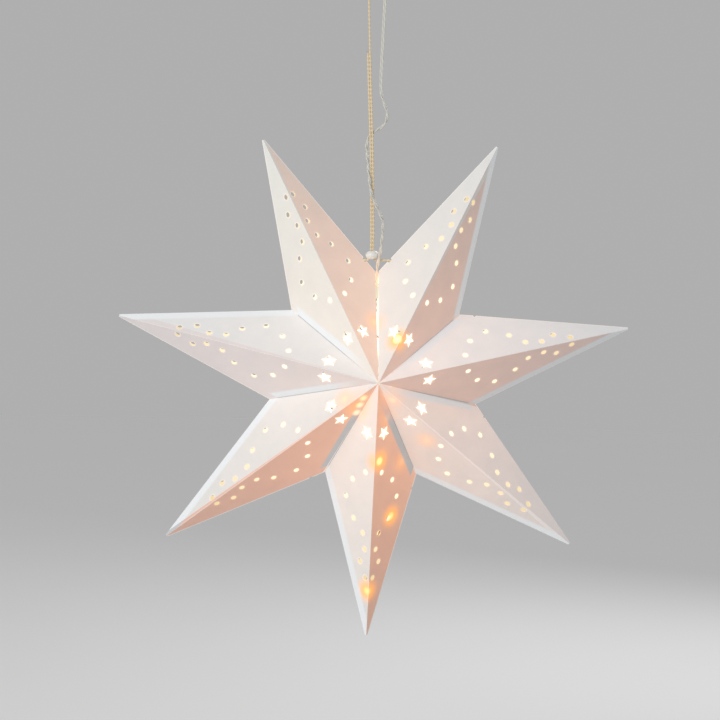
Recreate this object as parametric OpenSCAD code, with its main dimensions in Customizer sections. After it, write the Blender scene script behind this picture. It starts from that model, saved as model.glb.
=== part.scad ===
/* [Star] */
// Radius from the centre of the star to the tips
star_r = 300; // [250:1:350]
// Radius from the centre to the notches between the arms
notch_r = 122.5; // [110:0.5:135]
// Half of the star's depth, from the middle plane to the front apex
half_depth = 85; // [70:1:100]
// Opening angle of the unglued seam at the top
seam_open = 2; // [1.6:0.1:3]
// Width of the blunt end of each arm
tip_w = 3; // [2:0.25:5]
// Length of the arm's end where the layers of card fill it
tip_fill = 4; // [2:0.5:8]

/* [Card] */
// Thickness of the card
card_t = 0.4; // [0.3:0.05:0.6]
// Width of the glue flaps
flap_w = 9; // [6:0.5:11]
// Width of the bend where a flap passes under the next sheet
bend_w = 1; // [0.6:0.1:1.6]
// Clearance between a sheet's cut edge and the bend beside it
edge_gap = 0.15; // [0.1:0.05:0.4]
// Thickness of the glue between a valley flap and the next sheet
glue_t = 0.02; // [0.01:0.01:0.1]
// Distance from the centre line at which the valley flaps start
flap_start = 18; // [16:1:26]
// Distance from the middle plane at which the valley flaps stop
flap_stop = 6; // [3:1:12]

/* [Punched holes] */
// Diameter of the round punched holes
punch_d = 6.2; // [4:0.1:8]
// Outer radius of the star-shaped cut-outs
cutout_r = 9.5; // [7:0.25:10.5]
// Inner radius of the star-shaped cut-outs
cutout_inner_r = 4.2; // [3:0.1:5.5]
// Diameter of the hole left at the front and back apex
apex_hole_d = 3; // [2.5:0.25:8]
// Diameter of the cord holes through the folded outer edges
cord_hole_d = 5.6; // [4.6:0.1:6.5]
// Diameter of the spare cord holes that stay empty
spare_hole_d = 3; // [2:0.1:4]
// Distance of the cord holes from the notch, along the edge
cord_hole_at = 17.6; // [17:0.2:18.4]

/* [Hanging cord and bead] */
// Diameter of the braided cord
cord_d = 2.4; // [1.8:0.1:2.6]
// Outer diameter of the bead
bead_d = 14.8; // [12:0.1:16]
// Height of the bead
bead_h = 10; // [8:0.1:11]
// Diameter of the bead's hole
bead_hole_d = 6.2; // [6:0.1:6.6]
// Diameter of the flare at the bottom of the bead's hole
bead_flare_d = 12.6; // [12:0.1:13.2]
// Tilt of the bead on the cord, in degrees
bead_tilt = 8; // [0:1:12]
// Diameter of the knot under the hanging loop
knot_d = 7.4; // [6.6:0.1:8]

/* [Supply lead and plug] */
// Width of the flat two-core lead
lead_w = 4; // [3:0.1:4.2]
// Thickness of the flat two-core lead
lead_t = 2; // [1.5:0.1:2.2]
// Diameter of the splice sleeve inside the star
splice_d = 5; // [4.4:0.1:5.6]
// Diameter of the plug's body
plug_d = 9.6; // [8.6:0.1:10]
// Length of the plug's body
plug_l = 22; // [18:0.5:23]
// Length of the plug's tapered strain relief
relief_l = 10; // [7:0.5:11]
// Outer diameter of the plug's barrel
barrel_d = 5.5; // [5:0.1:5.5]
// Inner diameter of the plug's barrel
barrel_bore_d = 2.1; // [1.3:0.1:2.5]
// Length of the plug's barrel
barrel_l = 9.5; // [8:0.5:10]
// Width of the cable tie's band
tie_w = 2.5; // [2:0.1:4.8]
// Thickness of the cable tie's band
tie_t = 1; // [0.8:0.1:1.5]
// Size of the cable tie's head
tie_head = 4.6; // [3.8:0.2:6]
// Clearance inside the cable tie
tie_gap = 0.2; // [0.1:0.05:0.4]

/* [Light string] */
// Diameter of the light string's twisted wires
wire_d = 2.2; // [1.6:0.1:2.4]
// Diameter of the lamp holders
holder_d = 5; // [4.6:0.1:5.6]
// Length of the lamp holders
holder_l = 8; // [7:0.5:8.5]
// Diameter of the lamps
lamp_d = 4; // [3:0.1:4.4]
// Length of the lamps, with their domes
lamp_l = 5; // [4:0.5:6]
// Clearance between a lamp holder and the wire that runs through it
wire_gap = 0.25; // [0.2:0.05:0.4]

/* [Hidden] */
arms = 7;
pitch = (360 - seam_open) / arms;
half = pitch / 2;
notch_x = notch_r * sin(half);
notch_z = notch_r * cos(half);
// The faces of an arm would meet here if its end were not blunt
ridge_r = ridge_of(star_r, notch_r);
// Half the width of the four-sided spike at the star's centre
spike_x = spike_of(star_r, notch_r);
// A face seen as x / spike_x + y / half_depth + z / ridge_r = 1
face_n = [1 / spike_x, 1 / half_depth, 1 / ridge_r];
// How far a face moves along the arm for one card thickness
sink = card_t * ridge_r * norm(face_n);
// Direction of an arm's outer edge, from the notch to the tip
edge_dir = [-notch_x, 0, ridge_r - notch_z] / norm([notch_x, 0, ridge_r - notch_z]);
// How far the depth grows for each millimetre walked over a face from its outer edge
edge_rate = abs(cross(unit(face_n), edge_dir)[1]);
// How far the valley plane falls behind for each millimetre walked from the valley
valley_rate = sqrt(1 - pow(unit(face_n) * [cos(half), 0, -sin(half)], 2));
far = 2 * star_r;
// How far the bend beyond a valley reaches back under its own sheet
bend_lap = 0.1;

// Sizes of the star in which the hole pattern and the routes were chosen: radius, notch radius, half depth
CHOSEN = [300, 122.5, 85];
CHOSEN_RIDGE = ridge_of(CHOSEN[0], CHOSEN[1]);
CHOSEN_SPIKE = spike_of(CHOSEN[0], CHOSEN[1]);
// How much a face has grown since, along its ridge and across it
grow_u = norm([ridge_r, half_depth]) / norm([CHOSEN_RIDGE, CHOSEN[2]]);
grow_v = spike_x / CHOSEN_SPIKE;
// How much further above the star's centre the top notch lies, with all that hangs the star there
lift = notch_r - CHOSEN[1];
$fn = 48;

// Punched round holes of one face: distance along the ridge, distance from it
PUNCHES = [[111, 13], [125, 32], [148, 41], [172, 28], [186, 13], [205, 9], [222, 15], [240, 6]];
// Arms with a spare cord hole in their counter-clockwise outer edge
SPARE_ON = [2, 3, 4, 5];
// Star-shaped cut-out of one face: distance along the ridge, distance from it
CUTOUT = [63, 13.5];

// Routes of the cords and wires, from the centre of the star
BEAD_AT = [-6.2, 0, 140.8];
SLING = [
    [-7.4, 0, 143], [-7.4, 0, 139.8], [-8, 0, 137.3], [-9.8, 0, 135.5], [-12.2, 0.1, 134.9],
    [-14.6, 0.2, 134.9], [-16.9, 0.3, 133.5], [-18.6, 0.4, 130.8], [-19.5, 0.8, 126], [-18.4, 1.4, 119.6],
    [-14.4, 2.1, 113], [-8.2, 2.7, 108.6], [0, 3, 106.8], [8.2, 2.8, 108.6], [14.4, 2.2, 113],
    [18.4, 1.5, 119.6], [19.5, 0.9, 126], [18.6, 0.5, 130.8], [16.9, 0.4, 133.5], [14.6, 0.5, 134.9],
    [12.2, 0.9, 135.2], [8.2, 1.5, 135.1], [4, 1.8, 134.9], [-0.2, 1.1, 134.9], [-2.6, 0.4, 135.5],
    [-4.4, 0, 137.3], [-5, 0, 139.8], [-5, 0, 143]
];
MAIN = [
    [-5, 0, 143], [-5, 0, 150], [-5.1, 0, 165], [-5.7, 0, 183], [-6.4, 0, 206], [-7.2, 0, 228],
    [-8.2, 0, 250], [-9.6, 0, 278], [-10.9, 0, 300], [-12.3, 0, 324], [-13.8, 0, 350],
    [-15.3, 0, 380], [-16.6, 0, 405], [-17.7, 0, 430], [-18.1, 0, 446], [-17.8, 0, 460],
    [-17.2, 0, 475], [-17, 0, 490], [-17, 0, 511]
];
TAIL = [
    [-7.4, 0, 143], [-7.4, 0, 150], [-7.6, 0, 165], [-8.2, 0, 183], [-8.9, 0, 206], [-9.7, 0, 228],
    [-10.7, 0, 250], [-12.1, 0, 278], [-13.4, 0, 300], [-14.8, 0, 324], [-16.3, 0, 350], [-17.3, 0, 371]
];
LOOP = [
    [-18.4, 0, 520], [-18.4, 0, 522], [-19.6, 0, 526], [-21.9, 0, 530], [-23.6, 0, 534],
    [-23, 0, 538], [-20.6, 0, 540.5], [-17, 0, 541.2], [-13.4, 0, 540.5], [-11, 0, 538],
    [-10.4, 0, 534], [-12.1, 0, 530], [-14.4, 0, 526], [-15.6, 0, 522], [-15.6, 0, 520]
];
LOOP_TOP = LOOP[7];
// The fourth value turns the flat lead about its own line, in degrees
LEAD = [
    [0, -1.5, 105, 90], [0, -1.5, 113, 90], [0, -1.8, 121, 90], [0.4, -2.4, 128, 90],
    [1.3, -2.8, 134, 90], [2.4, -2.9, 140, 90], [3.4, -2.8, 146, 80], [4.3, -2.4, 153, 60],
    [4.9, -1.8, 161, 40], [5.4, -1.2, 169, 60], [5.4, -0.8, 177, 90], [3.6, -1.2, 184, 60],
    [0, -2.2, 191, 30], [-3.8, -3, 199, 0], [-7.6, -3.4, 207, 0], [-10, -3.2, 216, 20],
    [-11.6, -2.6, 226, 50], [-12.9, -1.4, 236, 80], [-13.8, -0.2, 246, 90], [-15, 0.8, 256, 90],
    [-15.7, 1.8, 266, 60], [-14.2, 2.9, 274, 20], [-9.4, 3.4, 280, 0], [-3.6, 2.6, 284, 0],
    [2.6, 1, 289, 10], [6.4, 0, 296, 30], [6.4, -0.4, 304, 45], [3.6, -0.4, 312, 30],
    [0.6, -0.2, 320, 10], [-1, 0, 329, 0], [-1.5, 0, 344, 0], [-1, 0, 373, 0],
    [-0.3, 0, 402, 0], [0.3, 0, 426, 0], [0.2, 0, 435, 0], [-1.2, 0, 443, 0],
    [-4, 0, 449, 0], [-7.4, 0, 454.5, 0], [-9.6, 0, 459, 0], [-10.4, 0, 463, 0], [-10.4, 0, 466, 0]
];
WIRE_POINTS = [
    [0, -1.5, 91], [0, -1.5, 84], [0, -5, 76], [-2, -13, 69], [-5, -21, 62], [-4, -30, 54],
    [4, -37, 47], [13, -43, 44], [21, -47, 44], [28, -47, 39], [31, -44, 29], [29, -44, 16],
    [24, -47, 2], [18, -50, -10], [13, -50, -20], [4, -49, -26], [-8, -47, -24], [-20, -44, -18],
    [-31, -41, -15], [-38, -38, -20], [-39, -36, -30], [-33, -37, -39], [-23, -39, -42],
    [-13, -40, -39], [-2, -38, -38], [10, -35, -44], [22, -32, -53], [35, -29, -60], [47, -26, -64],
    [57, -22, -70], [60, -16, -79], [54, -11, -87], [44, -9, -90], [33, -9, -88], [22, -14, -86],
    [12, -24, -87], [6, -33, -91], [4, -30, -102], [6, -22, -114], [10, -13, -126], [15, -5, -138],
    [19, 0, -148], [21, 2, -157], [18, 3, -168], [12, 3, -180], [7, 2, -193], [4, 2, -206],
    [2, 2, -219], [0, 2, -232], [-1, 2, -243], [-1, 2, -250]
];
WIRE = [for (p = WIRE_POINTS) in_star(p)];
// The lamps sit on these points of the wire
LAMP_ON = [4, 8, 14, 18, 23, 28, 33, 36, 42, 49];

// The plug stands on the lead's far end
PLUG_AT = at(LEAD, len(LEAD) - 1);
// The cable tie holds the middle of the plug's body against the cord
TIE_Z = PLUG_AT[2] + relief_l + plug_l / 2;
CORD_AT_TIE = [MAIN[len(MAIN) - 2][0], 0];

function unit(v) = v / norm(v);

// Where the faces of an arm meet on its axis, and how wide its spike is at the centre, by radius and notch radius
function ridge_of(r, n) = (r * n * sin(half) - tip_w / 2 * n * cos(half)) / (n * sin(half) - tip_w / 2);
function spike_of(r, n) = n * sin(half) * ridge_of(r, n) / (ridge_of(r, n) - n * cos(half));

// Share of the half depth that the star has at a place in its middle plane
function depth_share(x, z, ridge, wide) =
    let (lean = ((atan2(x, z) - seam_open / 2 + 360) % 360) % pitch - half, r = norm([x, z]))
    1 - abs(r * sin(lean)) / wide - r * cos(lean) / ridge;

// Moves a point of the light string with the star's sizes
function in_star(p) =
    let (
        x = p[0] * notch_r / CHOSEN[1],
        z = p[2] * (p[2] > 0 ? notch_r / CHOSEN[1] : star_r / CHOSEN[0]),
        deeper = half_depth / CHOSEN[2] * depth_share(x, z, ridge_r, spike_x)
            / depth_share(p[0], p[2], CHOSEN_RIDGE, CHOSEN_SPIKE)
    )
    [x, p[1] * deeper, z];

// Direction of a route at one of its points
function along(path, i) =
    let (last = len(path) - 1)
    unit(at(path, min(i + 1, last)) - at(path, max(i - 1, 0)));
function at(path, i) = [path[i][0], path[i][1], path[i][2]];

// Side directions carried along a route without turning about it
function carried(path, first) = [
    for (i = 0, s = unit(first - (first * along(path, 0)) * along(path, 0));
         i < len(path);
         i = i + 1, s = i < len(path) ? unit(s - (s * along(path, i)) * along(path, i)) : s) s
];

// Closed tube: the outline drawn at every point of the route
module tube(path, outline, first) {
    sides = carried(path, first);
    m = len(outline);
    n = len(path);
    points = [
        for (i = [0 : n - 1])
        let (t = along(path, i), u = sides[i], v = cross(t, u), a = len(path[i]) > 3 ? path[i][3] : 0)
        for (q = outline)
        at(path, i) + (q[0] * cos(a) - q[1] * sin(a)) * u + (q[0] * sin(a) + q[1] * cos(a)) * v
    ];
    walls = [
        for (i = [0 : n - 2]) for (j = [0 : m - 1]) for (half_face = [0, 1])
        let (a = i * m + j, b = i * m + (j + 1) % m, c = a + m, d = b + m)
        half_face == 0 ? [a, c, b] : [b, c, d]
    ];
    ends = [[for (j = [0 : m - 1]) j], [for (j = [m - 1 : -1 : 0]) (n - 1) * m + j]];
    polyhedron(points = points, faces = concat(walls, ends), convexity = 10);
}

function ring(d, sides) = [for (i = [0 : sides - 1]) d / 2 * [cos(360 * (i + 0.5) / sides), sin(360 * (i + 0.5) / sides)]];
function flat_ring(w, t) = [
    [w / 2, t / 4], [w / 2 - t / 4, t / 2], [t / 4 - w / 2, t / 2], [-w / 2, t / 4],
    [-w / 2, -t / 4], [t / 4 - w / 2, -t / 2], [w / 2 - t / 4, -t / 2], [w / 2, -t / 4]
];

// Moves what hangs the star to its place below the hanging loop's bearing point
module held() {
    translate([-LOOP_TOP[0], 0, cord_d / 2 - LOOP_TOP[2]]) children();
}

// Moves a shape from the star's centre to its place under the cord
module hung() {
    held() translate([0, 0, -lift]) children();
}

// Four-sided spike whose faces lie a number of card thicknesses inside the outer faces
module spike(layers) {
    d = layers * sink;
    polyhedron(
        points = [[spike_x, 0, -d], [0, half_depth, -d], [-spike_x, 0, -d], [0, -half_depth, -d], [0, 0, ridge_r - d]],
        faces = [[0, 4, 1], [1, 4, 2], [2, 4, 3], [3, 4, 0], [0, 1, 2, 3]]
    );
}

// Space inside a spike, up to the filled end of the arm
module cavity(layers) {
    difference() {
        spike(layers);
        translate([-far, -far, star_r - tip_fill]) cube([2 * far, 2 * far, far]);
    }
}

// All that lies clockwise of a plane through the star's axis, from a given offset on
module beyond(angle, offset) {
    rotate([0, angle, 0]) translate([offset, -far, -far]) cube([2 * far, 2 * far, 2 * far]);
}

// All that lies counter-clockwise of such a plane
module short_of(angle, offset) {
    rotate([0, angle, 0]) translate([offset - 2 * far, -far, -far]) cube([2 * far, 2 * far, 2 * far]);
}

// Places a flat pattern on a face: X along the ridge, Y across it, Z out of the card
module on_face(side, front) {
    up = unit([0, -front * half_depth, ridge_r]);
    out = unit([side * face_n[0], front * face_n[1], face_n[2]]);
    across = cross(out, up);
    multmatrix([
        [up[0], across[0], out[0], 0],
        [up[1], across[1], out[1], front * half_depth],
        [up[2], across[2], out[2], 0]
    ]) children();
}

module five_star(h) {
    linear_extrude(height = h, center = true)
        polygon([for (i = [0 : 9]) (i % 2 == 0 ? cutout_r : cutout_inner_r) * [cos(36 * i), sin(36 * i)]]);
}

// All punched holes of one face
module face_holes(side, front) {
    deep = 4 * card_t + 2;
    on_face(side, front) {
        for (p = PUNCHES) translate([p[0] * grow_u, side * front * p[1] * grow_v, 0]) cylinder(h = deep, d = punch_d, center = true);
        translate([CUTOUT[0] * grow_u, side * front * CUTOUT[1] * grow_v, 0]) five_star(deep);
    }
}

// Hole for the cord through the folded outer edge
module cord_hole(side, d) {
    translate([side * (notch_x + cord_hole_at * edge_dir[0]), 0, notch_z + cord_hole_at * edge_dir[2]])
        rotate([0, side * atan2(edge_dir[2], -edge_dir[0]), 0])
        cylinder(h = 3 * d, d = d, center = true);
}

// One folded sheet of card, pointing up: four faces, the flap inside its clockwise outer edge,
// and, where it has a neighbour, the flaps that run under the next sheet along both valleys
module sheet(first, last, spare) {
    difference() {
        union() {
            difference() {
                spike(0);
                difference() {
                    cavity(1);
                    translate([0, -flap_w * edge_rate, 0]) cube([far, flap_w * edge_rate, far]);
                }
                cavity(2);
                beyond(half, 0);
                short_of(-half, first ? 0 : bend_w + edge_gap);
            }
            if (!last) valley_flaps();
        }
        translate([-far, -far, star_r]) cube([2 * far, 2 * far, far]);
        rotate([90, 0, 0]) cylinder(h = 3 * half_depth, d = apex_hole_d, center = true);
        for (side = [-1, 1]) for (front = [-1, 1]) face_holes(side, front);
        if (first) cord_hole(-1, cord_hole_d);
        if (last) cord_hole(1, cord_hole_d);
        if (spare) cord_hole(-1, spare_hole_d);
    }
}

// The bend beyond the valley and the two flaps glued inside the next sheet
module valley_flaps() {
    under = 1 + glue_t / card_t;
    difference() {
        rotate([0, pitch, 0]) spike(0);
        rotate([0, pitch, 0]) spike(under + 1);
        short_of(half, -bend_lap);
        beyond(half, bend_w);
    }
    difference() {
        rotate([0, pitch, 0]) spike(under);
        rotate([0, pitch, 0]) spike(under + 1);
        short_of(half, -bend_lap);
        beyond(half, flap_w * valley_rate);
        rotate([90, 0, 0]) cylinder(h = 3 * half_depth, r = flap_start, center = true);
        translate([-far, -flap_stop, -far]) cube([2 * far, 2 * flap_stop, 2 * far]);
    }
}

module star_arm(k) {
    color("white") hung() rotate([0, seam_open / 2 + (k - 0.5) * pitch, 0]) sheet(k == 1, k == arms, len(search(k, SPARE_ON)) > 0);
}

module cord_sling() {
    color("#c9a86a") held() tube(SLING, ring(cord_d, 8), [0, 1, 0]);
}

module hanging_cord() {
    color("#c9a86a") held() tube(MAIN, ring(cord_d, 8), [0, 1, 0]);
}

module cord_tail() {
    color("#c9a86a") held() tube(TAIL, ring(cord_d, 8), [0, 1, 0]);
}

module hanging_loop() {
    color("#c9a86a") held() tube(LOOP, ring(cord_d, 8), [0, 1, 0]);
}

// Knot between the end of the cord and the two ends of the loop
module cord_knot() {
    foot = MAIN[len(MAIN) - 1];
    high = LOOP[0][2] - foot[2];
    top_r = (LOOP[len(LOOP) - 1][0] - LOOP[0][0] + cord_d) / 2 + 0.1;
    color("#c9a86a") held() translate(foot) rotate_extrude()
        polygon([
            [0, 0], [top_r, 0], [(top_r + knot_d) / 3, high / 6], [knot_d / 2, high / 2],
            [(top_r + knot_d) / 3, high * 5 / 6], [top_r, high], [0, high]
        ]);
}

// Flattened bead whose hole flares at the bottom, where the two strands part
module cord_bead() {
    color("snow") held() translate(BEAD_AT) rotate([0, -bead_tilt, 0]) difference() {
        rotate_extrude() polygon([for (a = [-90 : 10 : 90]) [bead_d / 2 * cos(a), bead_h / 2 * sin(a)]]);
        cylinder(h = 2 * bead_h, d = bead_hole_d, center = true);
        translate([0, 0, -bead_h / 2]) cylinder(h = bead_h / 2, d1 = bead_flare_d, d2 = bead_hole_d);
    }
}

module supply_lead() {
    color("lightgray") held() tube(LEAD, flat_ring(lead_w, lead_t), [1, 0, 0]);
}

// Shrunk sleeve where the lead becomes the light string's wires
module splice_sleeve() {
    long = LEAD[0][2] + lift - WIRE[0][2];
    color("gainsboro") hung() translate(WIRE[0]) cylinder(h = long, d = splice_d);
}

module plug_relief() {
    color("dimgray") held() translate(PLUG_AT) cylinder(h = relief_l, d1 = lead_w + 1.2, d2 = plug_d * 0.76);
}

module plug_body() {
    edge = plug_d / 12;
    color("dimgray") held() translate(PLUG_AT + [0, 0, relief_l]) rotate_extrude()
        polygon([
            [0, 0], [plug_d / 2 - edge, 0], [plug_d / 2, edge], [plug_d / 2, plug_l - edge],
            [plug_d / 2 - edge, plug_l], [0, plug_l]
        ]);
}

module plug_barrel() {
    color("silver") held() translate(PLUG_AT + [0, 0, relief_l + plug_l]) difference() {
        cylinder(h = barrel_l, d = barrel_d);
        translate([0, 0, 1]) cylinder(h = barrel_l, d = barrel_bore_d);
    }
}

// Outline round the cord and the plug's body, at a distance
module round_both(distance) {
    hull() {
        translate(CORD_AT_TIE) circle(d = cord_d + 2 * distance, $fn = 32);
        translate([PLUG_AT[0], PLUG_AT[1]]) circle(d = plug_d + 2 * distance, $fn = 32);
    }
}

module cable_tie() {
    color("whitesmoke") held() translate([0, 0, TIE_Z]) {
        linear_extrude(height = tie_w, center = true) difference() {
            round_both(tie_gap + tie_t);
            round_both(tie_gap);
        }
        translate([PLUG_AT[0] + plug_d / 2 + tie_gap + tie_t / 2, -tie_head / 2, -tie_head / 2])
            cube([tie_head * 0.8, tie_head, tie_head]);
    }
}

module light_wire() {
    color("honeydew") hung() tube(WIRE, ring(wire_d, 8), [1, 0, 0]);
}

// Lamp holder with the wire running through its back end, facing the front of the star
module holder(k) {
    i = LAMP_ON[k - 1];
    back = wire_d / 2 + wire_gap + 0.8;
    groove = (wire_d + 2 * wire_gap) / cos(22.5);
    color("mintcream") hung() difference() {
        translate(WIRE[i]) rotate([90, 0, 0]) translate([0, 0, -back]) cylinder(h = holder_l + back, d = holder_d);
        tube([WIRE[i - 1], WIRE[i], WIRE[i + 1]], ring(groove, 8), [1, 0, 0]);
    }
}

// Warm white lamp with a domed end
module lamp(k) {
    i = LAMP_ON[k - 1];
    color("lightyellow") hung() translate(WIRE[i]) rotate([90, 0, 0]) translate([0, 0, holder_l])
        rotate_extrude() polygon(concat(
            [[0, 0], [lamp_d / 2, 0]],
            [for (a = [0 : 15 : 90]) [lamp_d / 2 * cos(a), lamp_l - lamp_d / 2 + lamp_d / 2 * sin(a)]]
        ));
}

star_arm(1);  // star_arm_1
star_arm(2);  // star_arm_2
star_arm(3);  // star_arm_3
star_arm(4);  // star_arm_4
star_arm(5);  // star_arm_5
star_arm(6);  // star_arm_6
star_arm(7);  // star_arm_7
cord_sling();
cord_bead();
hanging_cord();
cord_tail();
cord_knot();
hanging_loop();
supply_lead();
splice_sleeve();
plug_relief();
plug_body();
plug_barrel();
cable_tie();
light_wire();
holder(1);  // holder_1
holder(2);  // holder_2
holder(3);  // holder_3
holder(4);  // holder_4
holder(5);  // holder_5
holder(6);  // holder_6
holder(7);  // holder_7
holder(8);  // holder_8
holder(9);  // holder_9
holder(10);  // holder_10
lamp(1);  // lamp_1
lamp(2);  // lamp_2
lamp(3);  // lamp_3
lamp(4);  // lamp_4
lamp(5);  // lamp_5
lamp(6);  // lamp_6
lamp(7);  // lamp_7
lamp(8);  // lamp_8
lamp(9);  // lamp_9
lamp(10);  // lamp_10
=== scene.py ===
"""Looks for a hanging folded card star with a light string inside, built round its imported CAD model."""

import math

import bmesh
import bpy
from bpy.props import FloatProperty, FloatVectorProperty, IntProperty, PointerProperty
from mathutils import Matrix, Vector


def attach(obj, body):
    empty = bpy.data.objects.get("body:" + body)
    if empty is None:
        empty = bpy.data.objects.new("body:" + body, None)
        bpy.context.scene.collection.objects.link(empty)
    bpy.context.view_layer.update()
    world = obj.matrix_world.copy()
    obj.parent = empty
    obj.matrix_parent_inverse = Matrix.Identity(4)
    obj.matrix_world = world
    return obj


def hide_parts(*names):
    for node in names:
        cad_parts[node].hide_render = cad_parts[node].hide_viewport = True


bl_info = {
    "name": "Folded Card Star",
    "version": (1, 0, 0),
    "blender": (4, 5, 0),
    "location": "View3D > Sidebar > Card Star",
    "description": "Dresses a folded card star with its cord, lead, light string and stage",
    "category": "Object",
}

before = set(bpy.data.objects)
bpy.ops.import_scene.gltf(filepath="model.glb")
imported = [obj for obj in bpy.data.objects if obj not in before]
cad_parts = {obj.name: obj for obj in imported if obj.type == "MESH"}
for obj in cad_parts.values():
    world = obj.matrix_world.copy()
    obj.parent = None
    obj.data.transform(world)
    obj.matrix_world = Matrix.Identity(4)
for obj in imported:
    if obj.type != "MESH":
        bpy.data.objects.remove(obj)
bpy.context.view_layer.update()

MM = 0.001
# The star's centre hangs below the bearing point of the loop, which is the frame's origin
STAR_CENTRE = Vector((0.017, 0, -0.54))

# Sizes of the folded star, in millimetres from its centre, as the CAD source has them
ARMS = 7
STAR_R, NOTCH_R, HALF_DEPTH = 300.0, 122.5, 85.0
SEAM_OPEN = math.radians(2)
TIP_W = 3.0
FLAP_W, FLAP_START, FLAP_STOP = 9.0, 18.0, 6.0
PITCH = (2 * math.pi - SEAM_OPEN) / ARMS
HALF = PITCH / 2
NOTCH_X, NOTCH_Z = NOTCH_R * math.sin(HALF), NOTCH_R * math.cos(HALF)
RIDGE_R = (STAR_R * NOTCH_X - TIP_W / 2 * NOTCH_Z) / (NOTCH_X - TIP_W / 2)
SPIKE_X = NOTCH_X * RIDGE_R / (RIDGE_R - NOTCH_Z)
FACE_N = Vector((1 / SPIKE_X, 1 / HALF_DEPTH, 1 / RIDGE_R))
EDGE_DIR = Vector((-NOTCH_X, 0, RIDGE_R - NOTCH_Z)).normalized()
EDGE_RATE = abs(FACE_N.normalized().cross(EDGE_DIR).y)
VALLEY_RATE = math.sqrt(1 - FACE_N.normalized().dot(Vector((math.cos(HALF), 0, -math.sin(HALF)))) ** 2)
RIDGE_L = math.hypot(HALF_DEPTH, RIDGE_R)
ACROSS_X = (FACE_N.normalized().y * RIDGE_R + FACE_N.normalized().z * HALF_DEPTH) / RIDGE_L

# Punched holes and cut-out of one face: distance along the ridge, distance from it
PUNCHES = ((111, 13), (125, 32), (148, 41), (172, 28), (186, 13), (205, 9), (222, 15), (240, 6))
PUNCH_R = 3.1
CUTOUT, CUTOUT_MEAN_R = (63, 13.5), 6.6

# Painted glow where the lamps shine through the front card: place in millimetres, strength of the painted halo and of
# the painted core
HOT_SPOTS = (
    ((20.8, -67.2, 48.3), 1.0, 1.9), ((5.7, -53.8, -90.8), 1.0, 1.15), ((23.2, -17.1, -158.0), 1.0, 0.65),
    ((-1.7, -14.7, -245.8), 1.0, 0.55), ((-3.6, -41.3, 65.5), 0.32, 0.1), ((-36.7, -66.0, -20.5), 0.36, 0.13),
    ((-15.8, -74.2, -18.0), 0.15, 0.75), ((-19.2, -67.4, -26.4), 0.25, 0.8), ((-22.0, -59.5, -35.6), 0.3, 0.8),
    ((16.9, -73.4, -19.4), 0.25, 0.2),
    ((12.3, -61.0, -40.9), 0.2, 0.1), ((33.5, -24.5, -94.0), 0.32, 0.1), ((59.1, -45.3, -66.6), 0.3, 0.09),
)

# Front facets, clockwise from the seam: a painted light and shade tint, warm and darker where lamp light shows on
# facets shaded from outside and paler on lit ones, and how much of the painted lamp glow comes through
FACET_LIGHT_AND_SHADE = (
    (1.0, 1.04, 1.04, 0.55), (0.95, 0.84, 0.82, 1.0), (1.03, 1.10, 1.15, 0.9), (0.88, 0.78, 0.77, 0.9),
    (1.10, 1.11, 1.13, 1.0), (1.0, 1.0, 1.0, 0.95), (1.08, 0.72, 0.60, 1.15), (1.0, 1.04, 1.04, 0.9),
    (1.0, 0.68, 0.58, 1.0), (1.0, 1.03, 1.03, 0.55), (1.0, 0.98, 1.0, 0.5), (1.0, 1.07, 1.10, 0.6),
    (1.0, 1.05, 1.02, 0.7), (1.05, 0.94, 0.88, 1.15),
)

# A colour ramp holds 0 to 1, so it stores the rows above divided by this
FACET_TOP = 1.2

# Routes of the cords and wires, in metres from the star's centre
SLING = (
    (-.0074, 0, .143), (-.0074, 0, .1398), (-.008, 0, .1373), (-.0098, 0, .1355),
    (-.0122, .0001, .1349), (-.0146, .0002, .1349), (-.0169, .0003, .1335), (-.0186, .0004, .1308),
    (-.0195, .0008, .126), (-.0184, .0014, .1196), (-.0144, .0021, .113), (-.0082, .0027, .1086),
    (0, .003, .1068), (.0082, .0028, .1086), (.0144, .0022, .113), (.0184, .0015, .1196),
    (.0195, .0009, .126), (.0186, .0005, .1308), (.0169, .0004, .1335), (.0146, .0005, .1349),
    (.0122, .0009, .1352), (.0082, .0015, .1351), (.004, .0018, .1349), (-.0002, .0011, .1349),
    (-.0026, .0004, .1355), (-.0044, 0, .1373), (-.005, 0, .1398), (-.005, 0, .143),
)
MAIN_CORD = (
    (-.005, 0, .143), (-.005, 0, .15), (-.0051, 0, .165), (-.0057, 0, .183), (-.0064, 0, .206),
    (-.0072, 0, .228), (-.0082, 0, .25), (-.0096, 0, .278), (-.0109, 0, .3), (-.0123, 0, .324),
    (-.0138, 0, .35), (-.0153, 0, .38), (-.0166, 0, .405), (-.0177, 0, .43), (-.0181, 0, .446),
    (-.0178, 0, .46), (-.0172, 0, .475), (-.017, 0, .49), (-.017, 0, .511),
)
TAIL = (
    (-.0074, 0, .143), (-.0074, 0, .15), (-.0076, 0, .165), (-.0082, 0, .183), (-.0089, 0, .206),
    (-.0097, 0, .228), (-.0107, 0, .25), (-.0121, 0, .278), (-.0134, 0, .3), (-.0148, 0, .324),
    (-.0163, 0, .35), (-.0173, 0, .371),
)
LOOP = (
    (-.0184, 0, .52), (-.0184, 0, .522), (-.0196, 0, .526), (-.0219, 0, .53), (-.0236, 0, .534),
    (-.023, 0, .538), (-.0206, 0, .5405), (-.017, 0, .5412), (-.0134, 0, .5405), (-.011, 0, .538),
    (-.0104, 0, .534), (-.0121, 0, .53), (-.0144, 0, .526), (-.0156, 0, .522), (-.0156, 0, .52),
)
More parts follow.
